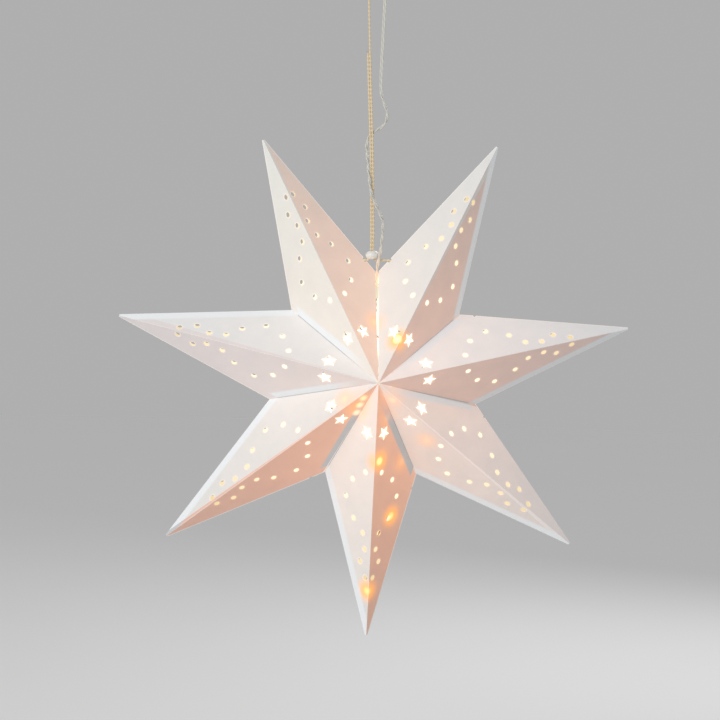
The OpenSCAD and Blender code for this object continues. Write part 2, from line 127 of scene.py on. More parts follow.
LEAD = (
    (0, -.0015, .105, 90), (0, -.0015, .113, 90), (0, -.0018, .121, 90), (.0004, -.0024, .128, 90),
    (.0013, -.0028, .134, 90), (.0024, -.0029, .14, 90), (.0034, -.0028, .146, 80),
    (.0043, -.0024, .153, 60), (.0049, -.0018, .161, 40), (.0054, -.0012, .169, 60),
    (.0054, -.0008, .177, 90), (.0036, -.0012, .184, 60), (0, -.0022, .191, 30),
    (-.0038, -.003, .199, 0), (-.0076, -.0034, .207, 0), (-.01, -.0032, .216, 20),
    (-.0116, -.0026, .226, 50), (-.0129, -.0014, .236, 80), (-.0138, -.0002, .246, 90),
    (-.015, .0008, .256, 90), (-.0157, .0018, .266, 60), (-.0142, .0029, .274, 20),
    (-.0094, .0034, .28, 0), (-.0036, .0026, .284, 0), (.0026, .001, .289, 10),
    (.0064, 0, .296, 30), (.0064, -.0004, .304, 45), (.0036, -.0004, .312, 30),
    (.0006, -.0002, .32, 10), (-.001, 0, .329, 0), (-.0015, 0, .344, 0), (-.001, 0, .373, 0),
    (-.0003, 0, .402, 0), (.0003, 0, .426, 0), (.0002, 0, .435, 0), (-.0012, 0, .443, 0),
    (-.004, 0, .449, 0), (-.0074, 0, .4545, 0), (-.0096, 0, .459, 0), (-.0104, 0, .463, 0),
    (-.0104, 0, .466, 0),
)
WIRE = (
    (0, -.0015, .091), (0, -.0015, .084), (0, -.005, .076), (-.002, -.013, .069),
    (-.005, -.021, .062), (-.004, -.03, .054), (.004, -.037, .047), (.013, -.043, .044),
    (.021, -.047, .044), (.028, -.047, .039), (.031, -.044, .029), (.029, -.044, .016),
    (.024, -.047, .002), (.018, -.05, -.01), (.013, -.05, -.02), (.004, -.049, -.026),
    (-.008, -.047, -.024), (-.02, -.044, -.018), (-.031, -.041, -.015), (-.038, -.038, -.02),
    (-.039, -.036, -.03), (-.033, -.037, -.039), (-.023, -.039, -.042), (-.013, -.04, -.039),
    (-.002, -.038, -.038), (.01, -.035, -.044), (.022, -.032, -.053), (.035, -.029, -.06),
    (.047, -.026, -.064), (.057, -.022, -.07), (.06, -.016, -.079), (.054, -.011, -.087),
    (.044, -.009, -.09), (.033, -.009, -.088), (.022, -.014, -.086), (.012, -.024, -.087),
    (.006, -.033, -.091), (.004, -.03, -.102), (.006, -.022, -.114), (.01, -.013, -.126),
    (.015, -.005, -.138), (.019, 0, -.148), (.021, .002, -.157), (.018, .003, -.168),
    (.012, .003, -.18), (.007, .002, -.193), (.004, .002, -.206), (.002, .002, -.219),
    (0, .002, -.232), (-.001, .002, -.243), (-.001, .002, -.25),
)
BEAD_AT = Vector((-0.0062, 0, 0.1408))
BEAD_R, BEAD_HALF_H = 0.0074, 0.0055
PLUG_AT = Vector(LEAD[-1][:3])


class StarCardSettings(bpy.types.PropertyGroup):
    """Colours of the card and of the lamp light painted on it as glow, through the card and on its inside."""
    white: FloatVectorProperty(name="Card", description="Colour of the uncoated white card", subtype="COLOR",
                               default=(0.83, 0.815, 0.80), min=0, max=1)
    through: FloatVectorProperty(name="Light Through Card", description="Tint of lamp light that one layer passes",
                                 subtype="COLOR", default=(1.0, 0.42, 0.17), min=0, max=1)
    hollow: FloatVectorProperty(name="Lit Hollow", description="Colour of the lit inner faces near the lamps",
                                subtype="COLOR", default=(1.0, 0.93, 0.78), min=0, max=1)
    glow: FloatProperty(name="Glow", description="Brightness of the light that the card lets through", default=0.25,
                        min=0, max=2)


class CordSettings(bpy.types.PropertyGroup):
    """Sizes of the plaited cord."""
    diameter: FloatProperty(name="Cord Diameter", description="Outer diameter of the plaited cord", default=0.0024,
                            min=0.001, unit="LENGTH")
    plait: FloatProperty(name="Plait Length", description="Length in which a yarn goes once round the cord",
                         default=0.014, min=0.002, unit="LENGTH")
    relief: FloatProperty(name="Relief", description="Depth between the yarns", default=0.0005, min=0, unit="LENGTH")
    yarns: IntProperty(name="Yarns Each Way", description="Yarns that wind in each direction", default=3, min=2)


class LeadSettings(bpy.types.PropertyGroup):
    """Sizes of the flat lead and the light string's wires."""
    width: FloatProperty(name="Lead Width", description="Width over both cores", default=0.004, min=0.001,
                         unit="LENGTH")
    thickness: FloatProperty(name="Lead Thickness", description="Diameter of one core", default=0.002, min=0.0005,
                             unit="LENGTH")
    half_turn: FloatProperty(name="Half Turn", description="Length in which the twisted lead turns over",
                             default=0.014, min=0.002, unit="LENGTH")
    twisted_below: FloatProperty(name="Twisted Below", description="Height over the star's centre where the twist ends",
                                 default=0.326, unit="LENGTH")


class StageSettings(bpy.types.PropertyGroup):
    """Floor and lights."""
    floor: FloatVectorProperty(name="Floor", description="Colour of the pale floor", subtype="COLOR",
                               default=(0.88, 0.88, 0.88), min=0, max=1)
    behind: FloatVectorProperty(name="Backdrop", description="Colour seen behind the star", subtype="COLOR",
                                default=(0.43, 0.43, 0.43), min=0, max=1)
    floor_drop: FloatProperty(name="Floor Drop", description="Distance from the hook down to the floor", default=1.25,
                              min=0.9, unit="LENGTH")
    around: FloatProperty(name="Light Around", description="Level of the even light from all sides", default=0.38,
                          min=0, max=2)
    key: FloatProperty(name="Key Lamp", description="Power of the soft lamp at the upper left", default=33.0, min=0)
    back: FloatProperty(name="Back Lamp", description="Power of the soft lamp behind", default=16.0, min=0)


def linear(colour):
    """Linear colour with alpha from an sRGB hex value."""
    parts = [int(colour[i:i + 2], 16) / 255 for i in (1, 3, 5)]
    return tuple(c / 12.92 if c <= 0.04045 else ((c + 0.055) / 1.055) ** 2.4 for c in parts) + (1.0,)


def add(tree, kind, inputs=None, **settings):
    """Adds a node, sets its properties, and fills or links its inputs."""
    node = tree.nodes.new(kind)
    for name, value in settings.items():
        setattr(node, name, value)
    for key, value in (inputs or {}).items():
        if isinstance(value, bpy.types.NodeSocket):
            tree.links.new(value, node.inputs[key])
        else:
            node.inputs[key].default_value = value
    place = len(tree.nodes)
    node.location = (place // 12 * 220, -(place % 12) * 160)
    return node


def work_out(tree, known, steps):
    """Lays out a table of sums as Math nodes; a trailing ! keeps the result between 0 and 1."""
    for name, operation, *terms in steps:
        inputs = {i: known[t] if isinstance(t, str) else t for i, t in enumerate(terms)}
        node = add(tree, "ShaderNodeMath", inputs, operation=operation.rstrip("!"), use_clamp=operation.endswith("!"))
        known[name] = node.outputs[0]
    return known


def new_material(name, inputs):
    """Material with an empty tree but for its output and one Principled shader with the inputs given."""
    material = bpy.data.materials.new(name)
    material.use_nodes = True
    tree = material.node_tree
    tree.nodes.clear()
    shader = add(tree, "ShaderNodeBsdfPrincipled", inputs)
    add(tree, "ShaderNodeOutputMaterial", {"Surface": shader.outputs[0]})
    return material, tree, shader


def link(tree, source, target):
    """Joins an output to an input."""
    tree.links.new(source, target)


def noise(tree, scale, detail=2.0):
    """Noise on the object's own coordinates: its value and its colour."""
    where = add(tree, "ShaderNodeTexCoord").outputs["Object"]
    return add(tree, "ShaderNodeTexNoise", {"Vector": where, "Scale": scale, "Detail": detail}).outputs


def attribute(tree, name):
    """Value that the mesh stores under a name."""
    return add(tree, "ShaderNodeAttribute", attribute_name=name, attribute_type="GEOMETRY").outputs["Fac"]


def scaled(tree, colour, level):
    """Colour times a level."""
    return add(tree, "ShaderNodeVectorMath", {0: colour, "Scale": level}, operation="SCALE").outputs[0]


def blend(tree, factor, low, high, **settings):
    """Mix of two colours."""
    return add(tree, "ShaderNodeMix", {"Factor": factor, 6: low, 7: high}, data_type="RGBA", **settings).outputs[2]


def ramp(tree, factor, low, high, start=0.0, end=1.0):
    """Colour that runs from one to another between two values."""
    node = add(tree, "ShaderNodeValToRGB", {0: factor})
    for element, place, colour in zip(node.color_ramp.elements, (start, end), (low, high)):
        element.position, element.color = place, colour
    return node.outputs[0]


def surface(tree, shader, colour, height, strength, depth=0.0001):
    """Gives the shader its colour and a fine relief."""
    bump = add(tree, "ShaderNodeBump", {"Strength": strength, "Distance": depth, "Height": height})
    link(tree, colour, shader.inputs["Base Color"])
    link(tree, bump.outputs[0], shader.inputs["Normal"])


def hung(point):
    """A point given from the star's centre, in the frame."""
    return Vector(point[:3]) + STAR_CENTRE


def route_length(points):
    """Length of a route through its points."""
    return sum((Vector(b[:3]) - Vector(a[:3])).length for a, b in zip(points, points[1:]))


def smooth_route(points, step):
    """Points close together on a smooth curve through a route, from the star's centre."""
    spots = [Vector(p[:3]) for p in points]
    at = [0.0]
    for a, b in zip(spots, spots[1:]):
        at.append(at[-1] + (b - a).length)
    last = len(spots) - 1
    slopes = [(spots[min(i + 1, last)] - spots[max(i - 1, 0)]) / (at[min(i + 1, last)] - at[max(i - 1, 0)])
              for i in range(last + 1)]
    found = []
    for i in range(last):
        span = at[i + 1] - at[i]
        count = max(1, round(span / step))
        for k in range(count):
            t = k / count
            found.append((2 * t ** 3 - 3 * t ** 2 + 1) * spots[i] + (t ** 3 - 2 * t ** 2 + t) * span * slopes[i]
                         + (3 * t ** 2 - 2 * t ** 3) * spots[i + 1] + (t ** 3 - t ** 2) * span * slopes[i + 1])
    return found + [spots[last]]


def finished(name, mesh, replaced=()):
    """Links a mesh as a piece at the origin that rides on the star and stands for CAD nodes."""
    piece = bpy.data.objects.new(name, mesh)
    bpy.context.scene.collection.objects.link(piece)
    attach(piece, "root")
    if replaced:
        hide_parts(*replaced)
    return piece


def tidy_mesh(mesh, merge=1e-6):
    """Merges doubles and turns the faces outwards."""
    work = bmesh.new()
    work.from_mesh(mesh)
    bmesh.ops.remove_doubles(work, verts=work.verts, dist=merge)
    bmesh.ops.recalc_face_normals(work, faces=work.faces)
    if work.calc_volume(signed=True) < 0:
        bmesh.ops.reverse_faces(work, faces=work.faces)
    for face in work.faces:
        face.smooth = True
    work.to_mesh(mesh)
    work.free()
    return mesh


def sweep(name, route, outline, turns, start=Vector((1, 0, 0))):
    """Closed tube with an outline carried along a route; stores how far along and around each point lies."""
    vertices, faces, far, round_ = [], [], [], []
    side, gone = start, 0.0
    last, m = len(route) - 1, len(outline)
    for i, spot in enumerate(route):
        ahead = (route[min(i + 1, last)] - route[max(i - 1, 0)]).normalized()
        side = (side - side.dot(ahead) * ahead).normalized()
        other = ahead.cross(side)
        gone += (spot - route[i - 1]).length if i else 0
        turn = turns(spot, gone)
        for j, (u, v) in enumerate(outline):
            vertices.append(hung(spot) + (u * math.cos(turn) - v * math.sin(turn)) * side
                            + (u * math.sin(turn) + v * math.cos(turn)) * other)
            far.append(gone)
            round_.append(j / m)
    for i in range(last):
        for j in range(m):
            a, b = i * m + j, i * m + (j + 1) % m
            faces.append((a, b, b + m, a + m))
    faces += [tuple(reversed(range(m))), tuple(range(last * m, last * m + m))]
    mesh = bpy.data.meshes.new(name)
    mesh.from_pydata(vertices, [], faces)
    for label, values in (("along", far), ("around", round_)):
        mesh.attributes.new(label, "FLOAT", "POINT").data.foreach_set("value", values)
    return tidy_mesh(mesh, 1e-7)


def two_cores(width, core, arc=160, steps=9):
    """Outline of two round cores side by side, joined by a thin web."""
    reach = width / 2 - core / 2
    turn = [math.radians(-arc + 2 * arc * i / steps) for i in range(steps + 1)]
    right = [(reach + core / 2 * math.cos(a), core / 2 * math.sin(a)) for a in turn]
    return right + [(-x, -y) for x, y in right]


def lathe(name, profile, place, tilt=0.0, sides=64, closed=False):
    """Turned piece from a profile of radius and height, standing at a place."""
    work = bmesh.new()
    rings = []
    turn = Matrix.Translation(place) @ Matrix.Rotation(tilt, 4, "Y")
    for radius, height in profile:
        count = 1 if radius == 0 else sides
        rings.append([work.verts.new(turn @ Vector((radius * math.cos(2 * math.pi * j / sides),
                                                    radius * math.sin(2 * math.pi * j / sides), height)))
                      for j in range(count)])
    pairs = list(zip(rings, rings[1:])) + ([(rings[-1], rings[0])] if closed else [])
    for low, high in pairs:
        for j in range(sides):
            corners = [low[j % len(low)], low[(j + 1) % len(low)], high[(j + 1) % len(high)], high[j % len(high)]]
            work.faces.new(list(dict.fromkeys(corners)))
    mesh = bpy.data.meshes.new(name)
    work.to_mesh(mesh)
    work.free()
    return tidy_mesh(mesh, 1e-8)


def plait_tree():
    """Geometry Nodes tree that turns a line into a round plait of interlaced yarns."""
    tree = bpy.data.node_groups.new("Round Plait", "GeometryNodeTree")
    sockets = (
        ("Line", "NodeSocketGeometry", None), ("Cord Diameter", "NodeSocketFloat", 0.0024),
        ("Plait Length", "NodeSocketFloat", 0.014), ("Relief", "NodeSocketFloat", 0.0005),
        ("Yarns Each Way", "NodeSocketFloat", 3.0), ("Ring Spacing", "NodeSocketFloat", 0.0004),
        ("Sides", "NodeSocketInt", 24), ("Finish", "NodeSocketMaterial", None),
    )
    for label, kind, value in sockets:
        socket = tree.interface.new_socket(label, in_out="INPUT", socket_type=kind)
        if value is not None:
            socket.default_value = value
    tree.interface.new_socket("Plait", in_out="OUTPUT", socket_type="NodeSocketGeometry")
    given = add(tree, "NodeGroupInput").outputs
    curve = add(tree, "GeometryNodeMeshToCurve", {"Mesh": given["Line"]})
    smooth = add(tree, "GeometryNodeCurveSplineType", {"Curve": curve.outputs[0]}, spline_type="CATMULL_ROM")
    fine = add(tree, "GeometryNodeSetSplineResolution", {"Geometry": smooth.outputs[0], "Resolution": 16})
    even = add(tree, "GeometryNodeResampleCurve", {"Curve": fine.outputs[0], "Length": given["Ring Spacing"]},
               mode="LENGTH")
    spline = add(tree, "GeometryNodeSplineParameter")
    place = add(tree, "GeometryNodeInputPosition")
    kept = add(tree, "GeometryNodeCaptureAttribute")
    kept.capture_items.new("FLOAT", "along")
    kept.capture_items.new("VECTOR", "centre")
    for source, target in ((even.outputs[0], 0), (spline.outputs["Length"], 1), (place.outputs[0], 2)):
        tree.links.new(source, kept.inputs[target])
    radius = add(tree, "ShaderNodeMath", {0: given["Cord Diameter"], 1: 2.0}, operation="DIVIDE")
    ring = add(tree, "GeometryNodeCurvePrimitiveCircle", {"Resolution": given["Sides"], "Radius": radius.outputs[0]})
    turned = add(tree, "GeometryNodeCaptureAttribute")
    turned.capture_items.new("FLOAT", "around")
    tree.links.new(ring.outputs[0], turned.inputs[0])
    tree.links.new(spline.outputs["Factor"], turned.inputs[1])
    tube = add(tree, "GeometryNodeCurveToMesh", {"Curve": kept.outputs[0], "Profile Curve": turned.outputs[0],
                                                 "Fill Caps": True})
    known = {"along": kept.outputs[1], "around": turned.outputs[1], "plait": given["Plait Length"],
             "yarns": given["Yarns Each Way"], "relief": given["Relief"]}
    work_out(tree, known, (
        ("turns", "DIVIDE", "along", "plait"), ("beat", "MULTIPLY", "turns", "yarns"),
        ("swing", "MULTIPLY", "beat", 2 * math.pi), ("over", "COSINE", "swing"),
        ("ahead", "SUBTRACT", "around", "turns"), ("astern", "ADD", "around", "turns"),
        ("under", "MULTIPLY", "over", -1.0),
    ))
    for way, rise in (("ahead", "over"), ("astern", "under")):
        work_out(tree, known, (
            ("share", "MULTIPLY", way, "yarns"), ("part", "FLOORED_MODULO", "share", 1.0),
            ("off", "SUBTRACT", "part", 0.5), ("wide", "MULTIPLY", "off", 1.9), ("square", "MULTIPLY", "wide", "wide"),
            ("left", "SUBTRACT!", 1.0, "square"), ("crown", "SQRT", "left"),
            ("lift", "MULTIPLY_ADD", rise, 0.28, 0.72), (way + "_height", "MULTIPLY", "crown", "lift"),
        ))
    work_out(tree, known, (
        ("height", "MAXIMUM", "ahead_height", "astern_height"),
        ("yarn", "GREATER_THAN", "ahead_height", "astern_height"), ("depth", "SUBTRACT", 1.0, "height"),
        ("inward", "MULTIPLY", "depth", "relief"), ("offset", "MULTIPLY", "inward", -1.0),
    ))
    outward = add(tree, "ShaderNodeVectorMath", {0: place.outputs[0], 1: kept.outputs[2]}, operation="SUBTRACT")
    straight = add(tree, "ShaderNodeVectorMath", {0: outward.outputs[0]}, operation="NORMALIZE")
    shift = add(tree, "ShaderNodeVectorMath", {0: straight.outputs[0], "Scale": known["offset"]}, operation="SCALE")
    labelled = add(tree, "GeometryNodeStoreNamedAttribute", {"Geometry": tube.outputs[0], "Name": "plait",
                                                             "Value": known["height"]},
                   data_type="FLOAT", domain="POINT")
    by_yarn = add(tree, "GeometryNodeStoreNamedAttribute", {"Geometry": labelled.outputs[0], "Name": "yarn",
                                                            "Value": known["yarn"]},
                  data_type="FLOAT", domain="POINT")
    raised = add(tree, "GeometryNodeSetPosition", {"Geometry": by_yarn.outputs[0], "Offset": shift.outputs[0]})
    soft = add(tree, "GeometryNodeSetShadeSmooth", {"Geometry": raised.outputs[0]})
    real = add(tree, "GeometryNodeRealizeInstances", {"Geometry": soft.outputs[0]})
    done = add(tree, "GeometryNodeSetMaterial", {"Geometry": real.outputs[0], "Material": given["Finish"]})
    add(tree, "NodeGroupOutput", {0: done.outputs[0]})
    return tree


def plaited(name, route, tree, material, settings):
    """Mesh of the plaited cord along a route."""
    line = bpy.data.meshes.new(name + "_line")
    line.from_pydata([hung(p) for p in route], [(i, i + 1) for i in range(len(route) - 1)], [])
    host = bpy.data.objects.new(name + "_line", line)
    bpy.context.scene.collection.objects.link(host)
    modifier = host.modifiers.new("Plait", "NODES")
    modifier.node_group = tree
    values = {"Cord Diameter": settings.diameter, "Plait Length": settings.plait, "Relief": settings.relief,
              "Yarns Each Way": float(settings.yarns), "Finish": material}
    for socket in tree.interface.items_tree:
        if socket.in_out == "INPUT" and socket.name in values:
            modifier[socket.identifier] = values[socket.name]
    bpy.context.view_layer.update()
    depsgraph = bpy.context.evaluated_depsgraph_get()
    mesh = bpy.data.meshes.new_from_object(host.evaluated_get(depsgraph), depsgraph=depsgraph)
    host.modifiers.clear()
    bpy.data.objects.remove(host)
    mesh.name = name
    if len(mesh.polygons) < 100:
        raise RuntimeError(f"{name}: the plait came out empty")
    return tidy_mesh(mesh)


def folded_card():
    """Uncoated white card, scored and folded: matte and faintly mottled, with the lamps' light painted on it: a warm
    painted glow where it comes through one layer, painted cold grey shade where a glued flap doubles it, and a brightly
    lit inside painted as glow."""
    settings = bpy.context.scene.star_card
    material, tree, shader = new_material("uncoated_white_card", {"Roughness": 0.78, "Specular IOR Level": 0.35,
                                                                   "Emission Strength": 1.0})
    coordinates = add(tree, "ShaderNodeTexCoord")
    centred = add(tree, "ShaderNodeMapping", {"Vector": coordinates.outputs["Object"],
                                              "Location": -STAR_CENTRE / MM, "Scale": (1 / MM,) * 3})
    parts = add(tree, "ShaderNodeSeparateXYZ", {0: centred.outputs[0]}).outputs
    known = work_out(tree, {"x": parts[0], "y": parts[1], "z": parts[2]}, (
        # place within the arm: across it, along it, and away from the middle plane
        ("xx", "MULTIPLY", "x", "x"), ("zz", "MULTIPLY", "z", "z"), ("rr", "ADD", "xx", "zz"), ("r", "SQRT", "rr"),
        ("angle", "ARCTAN2", "x", "z"), ("past_seam", "SUBTRACT", "angle", SEAM_OPEN / 2),
        ("turn", "FLOORED_MODULO", "past_seam", 2 * math.pi), ("sector", "DIVIDE", "turn", PITCH),
        ("in_arm", "FLOORED_MODULO", "turn", PITCH), ("lean", "SUBTRACT", "in_arm", HALF),
        ("sine", "SINE", "lean"), ("cosine", "COSINE", "lean"),
        ("across", "MULTIPLY", "r", "sine"), ("along", "MULTIPLY", "r", "cosine"),
        ("side", "ABSOLUTE", "across"), ("deep", "ABSOLUTE", "y"),
        # distance under the outer surface
        ("a", "DIVIDE", "side", SPIKE_X), ("b", "DIVIDE", "deep", HALF_DEPTH), ("c", "DIVIDE", "along", RIDGE_R),
        ("ab", "ADD", "a", "b"), ("abc", "ADD", "ab", "c"), ("room", "SUBTRACT", 1.0, "abc"),
        ("under", "DIVIDE", "room", FACE_N.length), 
        # strips where a flap doubles the card
        ("front", "LESS_THAN", "y", 0.0), ("clockwise", "GREATER_THAN", "across", 0.0),
        ("edge_left", "SUBTRACT", FLAP_W * EDGE_RATE, "deep"), ("edge_soft", "MULTIPLY_ADD!", "edge_left", 0.45, 0.5),
        ("edge_front", "MULTIPLY", "edge_soft", "front"), ("edge_side", "MULTIPLY", "edge_front", "clockwise"),
        ("early_arm", "LESS_THAN", "sector", ARMS - 1.0), ("edge_strip", "MULTIPLY", "edge_side", "early_arm"),
        ("v_across", "MULTIPLY", "across", math.cos(HALF)), ("v_along", "MULTIPLY", "along", math.sin(HALF)),
        ("valley", "ADD", "v_across", "v_along"), ("valley_left", "SUBTRACT", FLAP_W * VALLEY_RATE, "valley"),
        ("valley_soft", "MULTIPLY_ADD!", "valley_left", 0.45, 0.5),
        ("from_middle", "MULTIPLY_ADD!", "r", 0.03, -0.03 * FLAP_START),
        ("from_edge", "MULTIPLY_ADD!", "deep", 0.7, -0.7 * FLAP_STOP), ("later_arm", "GREATER_THAN", "sector", 1.0),
        ("valley_a", "MULTIPLY", "valley_soft", "from_middle"), ("valley_b", "MULTIPLY", "valley_a", "from_edge"),
        ("valley_strip", "MULTIPLY", "valley_b", "later_arm"), ("strips", "MAXIMUM", "edge_strip", "valley_strip"),
        # the painted lamp glow is held back where a flap doubles the card
        ("single", "MULTIPLY_ADD", "strips", -0.86, 1.0),
        # the inner side of the card; beside a valley a flap's outer side lies one layer deep
        ("valley_hard", "MULTIPLY_ADD!", "valley_left", 2.0, 0.5), ("flap", "MULTIPLY", "valley_hard", "later_arm"),
        ("shell", "MULTIPLY_ADD", "flap", 0.3, 0.34), ("inside", "GREATER_THAN", "under", "shell"),
        # place on the face, along its ridge and away from it
        ("rise", "SUBTRACT", HALF_DEPTH, "deep"), ("u_rise", "MULTIPLY", "rise", HALF_DEPTH / RIDGE_L),
        ("u_along", "MULTIPLY", "along", RIDGE_R / RIDGE_L), ("u", "ADD", "u_rise", "u_along"),
        ("v", "DIVIDE", "side", ACROSS_X),
    ))
    spot = add(tree, "ShaderNodeCombineXYZ", {0: known["u"], 1: known["v"]})
    star = add(tree, "ShaderNodeVectorMath", {0: spot.outputs[0], 1: (*CUTOUT, 0)}, operation="DISTANCE")
    known["star_far"] = star.outputs["Value"]
    work_out(tree, known, (("near", "SUBTRACT", "star_far", CUTOUT_MEAN_R - PUNCH_R),))
    for hole in PUNCHES:
        away = add(tree, "ShaderNodeVectorMath", {0: spot.outputs[0], 1: (*hole, 0)}, operation="DISTANCE")
        known["away"] = away.outputs["Value"]
        work_out(tree, known, (("near", "MINIMUM", "near", "away"),))
    known["round"] = work_out(tree, known, (("round", "DIVIDE", "turn", ARMS * PITCH),))["round"]
    # painted light and shade on each front facet, read from the facet table; the back faces take one plain tint
    facets = add(tree, "ShaderNodeValToRGB", {0: known["round"]})
    facets.color_ramp.interpolation = "CONSTANT"
    steps = facets.color_ramp.elements
    for i, row in enumerate(FACET_LIGHT_AND_SHADE):
        step = steps[i] if i < 1 else steps.new(i / len(FACET_LIGHT_AND_SHADE)) if i < len(FACET_LIGHT_AND_SHADE) - 1 else steps[-1]
        step.position = i / len(FACET_LIGHT_AND_SHADE)
        step.color = tuple(part / FACET_TOP for part in row)
    tint = blend(tree, known["front"], (0.80, 0.78, 0.76, 1.0), facets.outputs[0])
    passed = add(tree, "ShaderNodeMix", {"Factor": known["front"], 2: 0.65, 3: facets.outputs[1]}, data_type="FLOAT")
    known["passed"] = passed.outputs[0]
    known["halo_sum"] = known["core_sum"] = 0.0
    # painted glow of the lamps through the front card: a wide halo and a small core round each hot spot
    for where, halo, core in HOT_SPOTS:
        away = add(tree, "ShaderNodeVectorMath", {0: centred.outputs[0], 1: where}, operation="DISTANCE")
        for label, width, level in (("halo_sum", 21.0, halo), ("core_sum", 7.5, core)):
            part = add(tree, "ShaderNodeMapRange", {0: away.outputs["Value"], 1: 0.0, 2: width, 3: level, 4: 0.0},
                       interpolation_type="SMOOTHERSTEP")
            if isinstance(known[label], float):
                known[label] = part.outputs[0]
            else:
                known["part"] = part.outputs[0]
                work_out(tree, known, ((label, "ADD", label, "part"),))
    known.update(fibre=noise(tree, 900.0, 3.0)[0], cloud=noise(tree, 45.0)[0])
    work_out(tree, known, (
        # painted lamp glow: round the holes' rims, and over the single card, falling off towards the tips and patchy
        ("rim", "SUBTRACT", "near", PUNCH_R), ("rim_left", "MULTIPLY_ADD!", "rim", -0.42, 1.0),
        ("rim_glow", "MULTIPLY", "rim_left", "rim_left"),
        ("fade", "MULTIPLY_ADD!", "r", -1 / 330, 1.12), ("level", "MULTIPLY", "fade", settings.glow * FACET_TOP),
        ("even", "MULTIPLY", "level", "passed"),
        ("patchy", "MULTIPLY_ADD", "cloud", 0.5, 0.75), ("even_patchy", "MULTIPLY", "even", "patchy"),
        ("even_shown", "MULTIPLY", "even_patchy", "single"), ("halo_shown", "MULTIPLY", "halo_sum", "single"),
        ("rim_strength", "MULTIPLY", "rim_glow", 0.2),
        # painted light of the lamps on the inner faces, dimmer and more amber towards the tips
        ("hollow_even", "MULTIPLY_ADD", "r", -0.0031, 1.5), ("off_axis", "MULTIPLY_ADD!", "r", 0.035, -0.1),
        ("hollow_level", "MULTIPLY", "hollow_even", "off_axis"), ("hollow_warm", "MULTIPLY_ADD!", "r", 1 / 210, -0.35),
        # pale lines along the ridges and outer edges
        ("ridge_line", "MULTIPLY_ADD!", "side", -1.7, 1.35), ("ridge", "MULTIPLY", "ridge_line", 0.5),
        ("edge", "MULTIPLY_ADD!", "deep", -1.5, 1.8), ("pale_lines", "MAXIMUM", "ridge", "edge"),
        # painted amber in the card's colour round the hot spots, and a faint painted white glow on the strips where a
        # flap doubles the card
        ("amber", "MULTIPLY!", "halo_shown", 0.85), ("strip_painted_glow", "MULTIPLY", "strips", 0.09),
        ("grey", "MULTIPLY", "cloud", 0.06), ("tone", "MULTIPLY_ADD", "fibre", 0.06, "grey"),
        ("bright", "ADD", "tone", 0.94),
    ))
    # all the painted glow goes out as the card's emission
    glow = (0.0, 0.0, 0.0)
    for colour, label in ((tuple(settings.through), "even_shown"), ((0.62, 0.22, 0.05), "halo_shown"),
                          ((1.0, 0.62, 0.28), "core_sum"), ((1.0, 0.62, 0.26), "rim_strength"),
                          ((1.0, 1.0, 1.0), "strip_painted_glow")):
        glow = add(tree, "ShaderNodeVectorMath", {0: glow, 1: scaled(tree, colour, known[label])},
                   operation="ADD").outputs[0]
    # the inner faces show the painted hollow light, the outer ones the painted glow
    warm = blend(tree, known["hollow_warm"], (*settings.hollow, 1), (1.0, 0.79, 0.40, 1))
    lit = scaled(tree, warm, known["hollow_level"])
    shown = add(tree, "ShaderNodeMix", {"Factor": known["inside"], 4: glow, 5: lit}, data_type="VECTOR")
    paper = scaled(tree, tuple(FACET_TOP * part for part in settings.white), known["bright"])
    # the card's colour times the painted facet light and shade, then painted amber round the hot spots
    tinted = add(tree, "ShaderNodeVectorMath", {0: paper, 1: tint}, operation="MULTIPLY").outputs[0]
    toned = blend(tree, known["amber"], tinted, (0.80, 0.40, 0.07, 1))
    scored = blend(tree, known["pale_lines"], toned, (0.95, 0.94, 0.93, 1))
    # painted shade on a strip where a flap doubles the card: cold grey, darker on the facet with a dark painted tint,
    # and darker where the card is creased beside the valley
    shade = add(tree, "ShaderNodeSeparateColor", {0: tint})
    layers = add(tree, "ShaderNodeMapRange", {0: shade.outputs[1], 1: 0.6, 2: 0.7, 3: 0.61, 4: 0.98})
    known["layers"] = layers.outputs[0]
    work_out(tree, known, (
        ("crease_shade", "MULTIPLY_ADD!", "valley", 0.5, 0.4), ("strip_shade", "MULTIPLY", "layers", "crease_shade"),
    ))
    cool = blend(tree, known["strips"], scored, scaled(tree, (0.87, 0.90, 0.92), known["strip_shade"]))
    # the inner faces get a dark base colour and show the lamps' light alone, painted on them as emission
    seen = blend(tree, known["inside"], cool, (0.12, 0.11, 0.09, 1))
    link(tree, shown.outputs[1], shader.inputs["Emission Color"])
    surface(tree, shader, seen, known["tone"], 0.25, 0.0002)
    return material


def plaited_cotton():
    """Plaited cotton cord: matte straw-coloured yarns, with painted shade in the gaps between them."""
    material, tree, shader = new_material("plaited_cotton", {"Roughness": 0.85, "Sheen Weight": 0.25})
    fluff = noise(tree, 2600.0)
    # painted shade: darker towards the gaps between the yarns
    tint = ramp(tree, attribute(tree, "plait"), linear("#BFA888"), linear("#FBF3E2"), 0.3, 0.75)
    golden = blend(tree, attribute(tree, "yarn"), linear("#EADABD"), linear("#F8EEDA"))
    shaded = blend(tree, 1.0, tint, golden, blend_type="MULTIPLY")
    speckled = blend(tree, 0.2, shaded, fluff[1], blend_type="SOFT_LIGHT")
    surface(tree, shader, speckled, fluff[0], 0.4)
    return material


def lacquered_wood():
    """Turned wooden bead under white gloss lacquer: smooth, with faint orange peel."""
    material, tree, shader = new_material("white_gloss_lacquer", {"Roughness": 0.28, "Coat Weight": 0.7,
                                                                  "Coat Roughness": 0.06})
    peel = noise(tree, 700.0, 1.0)[0]
    surface(tree, shader, ramp(tree, peel, linear("#E9E9E4"), linear("#F6F5F1")), peel, 0.12, 0.0002)
    return material


